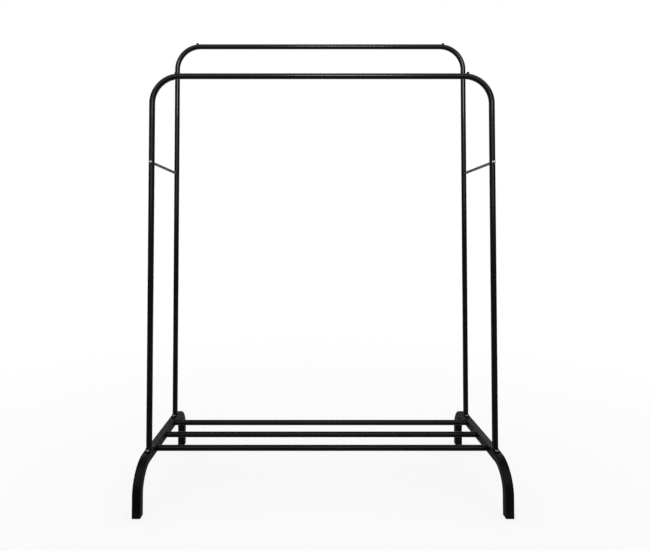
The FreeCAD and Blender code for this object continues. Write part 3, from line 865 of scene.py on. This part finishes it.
crown_outline = [(0, NUT_HEIGHT / 2), (DOME_RADIUS, NUT_HEIGHT / 2)]
crown_outline += dome(DOME_RADIUS, NUT_HEIGHT + DOME_RIM, NUT_HEIGHT + DOME_HEIGHT)
combine(cap_nut, turned("cap_crown", crown_outline), "UNION")
bore = drill_bit(THREAD_RADIUS, (0, 0, -NUT_HEIGHT), (0, 0, CAP_NUT_DEPTH))
combine(cap_nut, bore, "DIFFERENCE")
smooth(cap_nut, degrees=25)

nut_places = []
for side in SIDES.values():
    for end in ENDS.values():
        spin = Matrix.Rotation(NUT_TURN_ACROSS * side + NUT_TURN_ALONG * end, 4, "Z")
        place = (side * UPRIGHT_X, end * (FRAME_Y + TUBE_RADIUS), BRACE_HEIGHT)
        nut_places.append(Matrix.Translation(place) @ facing(end) @ spin)
hand_over(set_of(cap_nut, "domed_cap_nuts", nut_places), "brace_cap_nuts", "bright_hardware")

# %% [markdown]
# ## The brace rods
# A rod ties the front upright to the rear one on each side. Its ends are turned down to a
# thinner stem, which goes through the upright into the cap nut. The shoulder that is left
# bears on the upright from inside, so the nut can pull it tight. Three cylinders would
# leave open joints at the shoulders, so the rod is turned too: the outline of one half is
# repeated backwards for the other and spun round the axis.

# %% Turn the rods
ROD_RADIUS = 0.005
ROD_END_RADIUS = 0.003
ROD_HALF = 0.167
ROD_SHOULDER = FRAME_Y - TUBE_RADIUS
ROD_CHAMFER = 0.0005

half_outline = [
    (ROD_RADIUS, ROD_SHOULDER - ROD_CHAMFER),
    (ROD_RADIUS - ROD_CHAMFER, ROD_SHOULDER),
    (ROD_END_RADIUS, ROD_SHOULDER),
    (ROD_END_RADIUS, ROD_HALF - ROD_CHAMFER),
    (ROD_END_RADIUS - ROD_CHAMFER, ROD_HALF),
    (0, ROD_HALF),
]
lower_half = [(radius, -along) for radius, along in reversed(half_outline)]
rod = turned("brace_bar", lower_half + half_outline)
smooth(rod, degrees=30)
for side, sign in SIDES.items():
    place = Matrix.Translation((sign * UPRIGHT_X, 0, BRACE_HEIGHT)) @ facing(ENDS["rear"])
    hand_over(copy_of(rod, f"{side}_brace_bar", place), f"{side}_brace_rod", "black_paint")
bpy.data.objects.remove(rod, do_unlink=True)

# %% [markdown]
# ## The hanger stops
# A small peg on each bend keeps hangers from sliding off the bar. It is moulded with a domed
# head and a hollow underside that sits on the round tube. The head is turned and its
# edge softened. A flat underside would show a gap on the tube, so it is cut with a cylinder
# of the tube's size, and a stem is added that goes into the hole in the tube.

# %% Mould one stop
STOP_RADIUS = 0.0045
STOP_RIM = 0.0045
STOP_HEIGHT = 0.006
STOP_SKIRT = 0.0015
STOP_EDGE = 0.0004
STEM_RADIUS = 0.002
STEM_LENGTH = 0.0042
STEM_CHAMFER = 0.0003
SEAT_PLAY = 0.0001

stop_outline = [(0, -STOP_SKIRT), (STOP_RADIUS, -STOP_SKIRT)]
stop = turned("stop", stop_outline + dome(STOP_RADIUS, STOP_RIM, STOP_HEIGHT))
soften(stop, STOP_EDGE, segments=3, angle=math.radians(25))
seat = drill_bit(
    TUBE_RADIUS + SEAT_PLAY,
    (-2 * STOP_RADIUS, 0, -TUBE_RADIUS),
    (2 * STOP_RADIUS, 0, -TUBE_RADIUS),
    sides=96,
)
combine(stop, seat, "DIFFERENCE")
stem_outline = [
    (0, -STEM_LENGTH),
    (STEM_RADIUS - STEM_CHAMFER, -STEM_LENGTH),
    (STEM_RADIUS, STEM_CHAMFER - STEM_LENGTH),
    (STEM_RADIUS, STOP_RIM / 2),
    (0, STOP_RIM / 2),
]
combine(stop, turned("stem", stem_outline), "UNION")
smooth(stop, degrees=30)
print(stop.name, "with", len(stop.data.polygons), "faces")

# %% [markdown]
# The stops stand where the bars begin to bend, so they lean out a little, square to the
# tube. Each copy is leaned first and then moved to its place on the outside of the bend.

# %% Set the stops on the bends
crown_radius = BEND_RADIUS + TUBE_RADIUS
for end, end_sign in ENDS.items():
    for side, sign in SIDES.items():
        x = sign * (UPRIGHT_X - BEND_RADIUS + crown_radius * math.sin(STOP_LEAN))
        z = BAR_HEIGHT[end] - BEND_RADIUS + crown_radius * math.cos(STOP_LEAN)
        place = Matrix.Translation((x, end_sign * FRAME_Y, z))
        lean = Matrix.Rotation(sign * STOP_LEAN, 4, "Y")
        peg = copy_of(stop, f"{end}_{side}_hanger_peg", place @ lean)
        hand_over(peg, f"{end}_{side}_hanger_stop", "black_plastic")
bpy.data.objects.remove(stop, do_unlink=True)

# %% [markdown]
# ## Black paint
# The frames wear a thin coat of black gloss paint. The shelf rails shine less, and the arches
# are dull. Up close such paint is never even: its tone drifts a little, the gloss changes in
# patches, and the surface has the fine ripple called orange peel. A picture of paint could
# be wrapped round the tubes, but noises on Object coordinates have no seams. Each paint
# starts as an empty material with one shader.

# %% Open the three paints
TUBE_SHINE = {"Specular IOR Level": 0.3}
RAIL_SHINE = {"Specular IOR Level": 0.22}
ARCH_SHINE = {"Specular IOR Level": 0.13}
Finish = namedtuple("Finish", "material tree shader place")


def set_inputs(node, settings):
    """Type values into a node's fields."""
    for field, wanted in settings.items():
        node.inputs[field].default_value = wanted


def empty_tree(owner, output_kind):
    """Switch on the nodes of a material or a world, clear them and add an output."""
    owner.use_nodes = True
    owner.node_tree.nodes.clear()
    return owner.node_tree, owner.node_tree.nodes.new(output_kind)


def new_finish(name, settings):
    """An open material with its shader, set up, and its Object coordinates."""
    material = bpy.data.materials.new(name)
    tree, output = empty_tree(material, "ShaderNodeOutputMaterial")
    shader = tree.nodes.new("ShaderNodeBsdfPrincipled")
    set_inputs(shader, settings)
    place = tree.nodes.new("ShaderNodeTexCoord")
    tree.links.new(shader.outputs["BSDF"], output.inputs["Surface"])
    return Finish(material, tree, shader, place.outputs["Object"])


tube_paint = new_finish("black_tube_paint", TUBE_SHINE)
rail_paint = new_finish("black_rail_paint", RAIL_SHINE)
arch_paint = new_finish("black_arch_paint", ARCH_SHINE)
for paint in (tube_paint, rail_paint, arch_paint):
    print("opened", paint.material.name)

# %% [markdown]
# First the gloss. One roughness for the whole rack would look like a computer's paint, so a
# noise a few centimetres wide lets it drift. The helpers make a noise and spread its
# values over a range. The tubes are smoother than the arches.


# %% Vary the gloss
def noise(finish, scale, detail=2.0, roughness=0.5, stretch=None):
    """A noise texture's value, at a scale per metre, stretched if wanted."""
    tree = finish.tree
    place = finish.place
    if stretch:
        mapping = tree.nodes.new("ShaderNodeMapping")
        set_inputs(mapping, {"Scale": stretch})
        tree.links.new(place, mapping.inputs["Vector"])
        place = mapping.outputs["Vector"]
    texture = tree.nodes.new("ShaderNodeTexNoise")
    set_inputs(texture, {"Scale": scale, "Detail": detail, "Roughness": roughness})
    tree.links.new(place, texture.inputs["Vector"])
    return texture.outputs["Fac"]


def spread(tree, value, low, high, start=0.3, end=0.7):
    """Spread a noise value over a range of numbers."""
    ranged = tree.nodes.new("ShaderNodeMapRange")
    set_inputs(ranged, {"From Min": start, "From Max": end, "To Min": low, "To Max": high})
    tree.links.new(value, ranged.inputs["Value"])
    return ranged.outputs["Result"]


def vary_gloss(finish, low, high, **grain):
    """Let a finish's roughness drift between two values with a noise."""
    roughness = spread(finish.tree, noise(finish, **grain), low, high)
    finish.tree.links.new(roughness, finish.shader.inputs["Roughness"])
    print(finish.material.name, "has a roughness from", low, "to", high)


for paint in (tube_paint, rail_paint):
    vary_gloss(paint, low=0.16, high=0.19, scale=38.0, detail=5.0, roughness=0.6)
vary_gloss(arch_paint, low=0.34, high=0.44, scale=38.0, detail=5.0, roughness=0.6)

# %% [markdown]
# Then the tone. A broad noise mixes two blacks, which are a little browner on the base,
# and a very fine one adds a dust of lighter specks. One flat black would be simpler, but it
# would look like a hole in the picture.

# %% Mix the blacks
TUBE_BLACKS = ((0.0045, 0.0043, 0.0041), (0.0070, 0.0067, 0.0064))
BASE_BLACKS = ((0.0038, 0.0028, 0.0018), (0.0058, 0.0044, 0.0030))
DUST = (0.012, 0.0117, 0.0112)
DUST_BAND = (0.74, 0.82)


def blend_colours(tree, factor, first, second):
    """Mix two colours by a factor. Either may be a fixed colour or another node's colour."""
    mixer = tree.nodes.new("ShaderNodeMix")
    mixer.data_type = "RGBA"
    tree.links.new(factor, mixer.inputs["Factor"])
    for socket, colour in (("A", first), ("B", second)):
        inlet = [s for s in mixer.inputs if s.name == socket and s.type == "RGBA"][0]
        if isinstance(colour, tuple):
            inlet.default_value = (*colour, 1.0)
        else:
            tree.links.new(colour, inlet)
    return [s for s in mixer.outputs if s.type == "RGBA"][0]


def two_tones(finish, first, second, **grain):
    """Let a finish's colour drift between two tones with a noise."""
    drift = spread(finish.tree, noise(finish, **grain), 0.0, 1.0)
    tone = blend_colours(finish.tree, drift, first, second)
    finish.tree.links.new(tone, finish.shader.inputs["Base Color"])
    print(finish.material.name, "drifts between two tones")
    return tone


paints = ((tube_paint, TUBE_BLACKS), (rail_paint, BASE_BLACKS), (arch_paint, BASE_BLACKS))
for paint, blacks in paints:
    tone = two_tones(paint, *blacks, scale=9.0, detail=4.0)
    specks = spread(paint.tree, noise(paint, scale=2600.0, detail=1.0), 0.0, 1.0, *DUST_BAND)
    dusted = blend_colours(paint.tree, specks, tone, DUST)
    paint.tree.links.new(dusted, paint.shader.inputs["Base Color"])

# %% [markdown]
# Last the orange peel, which comes from drops of paint that have not quite run together. It
# is thinner than a hair and far too fine to model, so a fine noise drives a bump. The gloss
# paint has run smoother than the dull one.

# %% Ripple the paint
TUBE_PEEL = 0.02
ARCH_PEEL = 0.1


def ripple(finish, distance, strength, **grain):
    """A fine bump on the shader's normal, driven by a noise."""
    bump = finish.tree.nodes.new("ShaderNodeBump")
    set_inputs(bump, {"Distance": distance, "Strength": strength})
    finish.tree.links.new(noise(finish, **grain), bump.inputs["Height"])
    finish.tree.links.new(bump.outputs["Normal"], finish.shader.inputs["Normal"])
    print(finish.material.name, "rippled by", strength)


for paint in (tube_paint, rail_paint):
    ripple(paint, distance=0.00006, strength=TUBE_PEEL, scale=1300.0)
ripple(arch_paint, distance=0.00006, strength=ARCH_PEEL, scale=1300.0)

# %% [markdown]
# ## Bright fittings
# The screw heads and nuts are plated and polished, so they are nearly mirrors. A perfect
# mirror looks computed, though. A little haze in the roughness, a tone that drifts and fine
# rubbing marks make it metal that has been in a bag of fittings.

# %% Mix the bright metal
PLATING = (0.66, 0.665, 0.68)
BRIGHT_PLATING = (0.78, 0.785, 0.79)
RUBBED = (1, 1, 4)
METAL = {"Metallic": 1.0}

bright_metal = new_finish("bright_plated_metal", METAL)
two_tones(bright_metal, PLATING, BRIGHT_PLATING, scale=160.0, detail=3.0)
vary_gloss(bright_metal, low=0.10, high=0.24, scale=900.0, detail=4.0, roughness=0.65)
ripple(bright_metal, distance=0.0001, strength=0.12, scale=1400.0, detail=3.0, stretch=RUBBED)

# %% [markdown]
# ## Moulded black
# The stops and foot caps are moulded with a dull grain, so that scratches don't show. The
# roughness is high and varies a little, and the bump is coarser than on the paint.

# %% Mix the moulded black
MOULDED_BLACK = (0.004, 0.004, 0.004)
WORN_BLACK = (0.009, 0.009, 0.0087)
MOULDED_SHINE = {"Specular IOR Level": 0.35}

black_moulding = new_finish("black_moulding", MOULDED_SHINE)
two_tones(black_moulding, MOULDED_BLACK, WORN_BLACK, scale=70.0, detail=3.0)
vary_gloss(black_moulding, low=0.48, high=0.66, scale=300.0, detail=4.0)
ripple(black_moulding, distance=0.0002, strength=0.35, scale=1900.0)

# %% [markdown]
# ## Plain steel
# The joiners, inserts and sleeves inside the tubes are plain steel, drawn along their
# length. They are hardly seen, but they get a real finish as well. The noises are
# stretched along the bars, which turns spots into the streaks of a drawing die.

# %% Mix the plain steel
DARK_STEEL = (0.36, 0.36, 0.37)
PALE_STEEL = (0.52, 0.52, 0.53)
ALONG_BAR = (0.05, 1, 1)

plain_steel = new_finish("plain_drawn_steel", METAL)
two_tones(plain_steel, DARK_STEEL, PALE_STEEL, scale=500.0, detail=4.0, stretch=ALONG_BAR)
vary_gloss(plain_steel, low=0.28, high=0.46, scale=900.0, detail=3.0, stretch=ALONG_BAR)
ripple(plain_steel, distance=0.0001, strength=0.15, scale=1200.0, stretch=ALONG_BAR)

# %% [markdown]
# ## Dressing the pieces
# Each piece takes the finish of its slot, but the rails, arches and foot plates take the
# paints of the base. The four nodes that stay as CAD meshes lie inside the tubes, and they
# only change their material.

# %% Put the finishes on the pieces
INNER_NODES = ("rail_end_inserts", "base_rivet_nuts", "front_bar_joiner", "rear_bar_joiner")
FINISHES = {
    "black_paint": tube_paint,
    "bright_hardware": bright_metal,
    "black_plastic": black_moulding,
}


def dress(piece, finish):
    """Give a piece one material."""
    piece.data.materials.clear()
    piece.data.materials.append(finish.material)


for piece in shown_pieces():
    if piece.name in INNER_NODES:
        dress(piece, plain_steel)
    elif "rail_tube" in piece.name:
        dress(piece, rail_paint)
    elif "arch_tube" in piece.name or "foot_plate" in piece.name:
        dress(piece, arch_paint)
    else:
        dress(piece, FINISHES[piece["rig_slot"]])

# %% [markdown]
# ## The floor
# The photograph has a plain white ground. A square floor would show its corners or a
# horizon, so the floor is a wide disc, and it will fade into the white of the world
# further out.

# %% Lay a wide disc
FLOOR_RADIUS = 14.0
FLOOR_SIDES = 96

deselect_all()
bpy.ops.mesh.primitive_circle_add(vertices=FLOOR_SIDES, radius=FLOOR_RADIUS, fill_type="NGON")
floor = settle("floor")
bpy.ops.object.mode_set(mode="OBJECT")
print("floor of radius", FLOOR_RADIUS, "m")

# %% [markdown]
# Near the rack the floor is a pale matt surface that takes the soft shadow of the feet. A
# glowing floor would have no shadow at all. So a light path tells the floor when it is seen
# directly or in a mirror, and only then does it glow towards white, less near the rack
# and more further out. It throws no extra light on the rack.

# %% Fade the floor into white
FLOOR_FADE = (0.9, 2.4)
FLOOR_GLOW_NEAR = 0.8
FLOOR_TONE = 0.97


def seen_directly(tree):
    """One where a ray comes from the camera, a mirror or glass, and nought elsewhere."""
    path = tree.nodes.new("ShaderNodeLightPath")
    total = path.outputs["Is Camera Ray"]
    for ray in ("Is Glossy Ray", "Is Transmission Ray"):
        larger = tree.nodes.new("ShaderNodeMath")
        larger.operation = "MAXIMUM"
        tree.links.new(total, larger.inputs[0])
        tree.links.new(path.outputs[ray], larger.inputs[1])
        total = larger.outputs[0]
    return total


floor_finish = bpy.data.materials.new("pale_floor")
tree, output = empty_tree(floor_finish, "ShaderNodeOutputMaterial")
matt = tree.nodes.new("ShaderNodeBsdfDiffuse")
set_inputs(matt, {"Color": (FLOOR_TONE, FLOOR_TONE, FLOOR_TONE, 1)})
glow = tree.nodes.new("ShaderNodeEmission")
place = tree.nodes.new("ShaderNodeTexCoord")
span = tree.nodes.new("ShaderNodeVectorMath")
span.operation = "LENGTH"
tree.links.new(place.outputs["Object"], span.inputs[0])
fade = spread(tree, span.outputs["Value"], FLOOR_GLOW_NEAR, 1.0, *FLOOR_FADE)
share = tree.nodes.new("ShaderNodeMath")
share.operation = "MULTIPLY"
tree.links.new(seen_directly(tree), share.inputs[0])
tree.links.new(fade, share.inputs[1])
blend = tree.nodes.new("ShaderNodeMixShader")
tree.links.new(share.outputs[0], blend.inputs["Fac"])
tree.links.new(matt.outputs["BSDF"], blend.inputs[1])
tree.links.new(glow.outputs["Emission"], blend.inputs[2])
tree.links.new(blend.outputs["Shader"], output.inputs["Surface"])
floor.data.materials.append(floor_finish)
print("floor fades out between", *FLOOR_FADE, "m")

# %% [markdown]
# ## The world
# The world is the white room round the rack. It is white to the camera and in
# reflections, and it gives a plain level of soft light to everything else. A ring of lamps
# could light the rack as evenly, but it would leave spots in the glossy paint.

# %% The white world
WORLD_LIGHT = 0.85
WHITE = (1, 1, 1, 1)

world = bpy.data.worlds.new("white_studio")
bpy.context.scene.world = world
tree, output = empty_tree(world, "ShaderNodeOutputWorld")
soft = tree.nodes.new("ShaderNodeBackground")
set_inputs(soft, {"Strength": WORLD_LIGHT, "Color": WHITE})
white = tree.nodes.new("ShaderNodeBackground")
set_inputs(white, {"Strength": 1.0, "Color": WHITE})
choice = tree.nodes.new("ShaderNodeMixShader")
tree.links.new(seen_directly(tree), choice.inputs["Fac"])
tree.links.new(soft.outputs["Background"], choice.inputs[1])
tree.links.new(white.outputs["Background"], choice.inputs[2])
tree.links.new(choice.outputs["Shader"], output.inputs["Surface"])
print("world light", WORLD_LIGHT)

# %% [markdown]
# ## Cards for the reflections
# A shiny black tube on a white ground loses its edges, because they mirror the white. A
# photographer puts cards where the tubes look. Dark ones stand at the sides and low in
# front, lie on the floor and hang above, and two grey ones are under and behind the rack.
# Only a band behind the camera stays bright. The paint could be made duller instead, but
# then the streaks would go too. The cards cast no shadow, and only mirrored rays see them.

# %% Cards round the rack
BLACK = 0.012
GREY = 0.28
LIGHT_GREY = 0.36
CARD_ROUGHNESS = 0.9
FLOOR_LIFT = 0.0006
STANDING_SIDEWAYS = (0, math.pi / 2, 0)
STANDING_ACROSS = (math.pi / 2, 0, 0)
LYING = (0, 0, 0)


def card(name, place, width, length, turn, tone):
    """A flat card that only reflections see."""
    deselect_all()
    bpy.ops.mesh.primitive_plane_add(size=1, location=place, rotation=turn)
    bpy.context.object.scale = (width, length, 1)
    piece = settle(name)
    bpy.ops.object.mode_set(mode="OBJECT")
    finish = bpy.data.materials.new(name)
    finish.use_nodes = True
    shader = finish.node_tree.nodes["Principled BSDF"]
    set_inputs(shader, {"Base Color": (tone, tone, tone, 1), "Roughness": CARD_ROUGHNESS})
    piece.data.materials.append(finish)
    piece.visible_camera = False
    piece.visible_diffuse = False
    piece.visible_shadow = False
    print(name, "of tone", tone)


card("left_card", (-2.6, -0.2, 1.4), 2.8, 6.4, STANDING_SIDEWAYS, BLACK)
card("right_card", (2.6, -0.2, 1.4), 2.8, 6.4, STANDING_SIDEWAYS, BLACK)
card("front_floor_card", (0.0, -1.85, FLOOR_LIFT), 5.2, 3.1, LYING, BLACK)
card("rear_floor_card", (0.0, 0.55, FLOOR_LIFT), 5.2, 1.7, LYING, GREY)
card("front_card", (0.0, -3.45, 0.53), 5.2, 1.06, STANDING_ACROSS, BLACK)
card("rear_card", (0.0, 3.0, 1.2), 3.4, 1.8, STANDING_ACROSS, LIGHT_GREY)
card("top_card", (0.0, 0.6, 3.4), 5.2, 3.0, LYING, BLACK)

# %% [markdown]
# ## The lamp
# One soft lamp hangs behind the camera, above its head. It draws the bright streaks: its
# mirror image lies near the top of the uprights and along the middle of the bars. A small
# hard lamp would make thin, broken lines, so it is a wide panel. Its beam is kept narrow, so
# that it hardly lights the floor.

# %% Hang the lamp
LAMP_PLACE = Vector((0.22, -2.2, 2.08))
LAMP_TARGET = Vector((0.1, 0, 1.55))
LAMP_WIDTH = 0.83
LAMP_HEIGHT = 0.5
LAMP_POWER = 2.9
LAMP_BEAM = math.radians(60)

deselect_all()
turn = (LAMP_TARGET - LAMP_PLACE).to_track_quat("-Z", "Y").to_euler()
bpy.ops.object.light_add(type="AREA", location=LAMP_PLACE, rotation=turn)
lamp = bpy.context.object
lamp.name = "panel_lamp"
lamp.data.shape = "RECTANGLE"
lamp.data.size = LAMP_WIDTH
lamp.data.size_y = LAMP_HEIGHT
lamp.data.energy = LAMP_POWER
lamp.data.spread = LAMP_BEAM
print(lamp.name, "of", LAMP_POWER, "W")

# %% [markdown]
# ## The view
# The picture is shown with the Standard view transform.

# %% Set the view transform and finish
bpy.context.scene.view_settings.view_transform = "Standard"
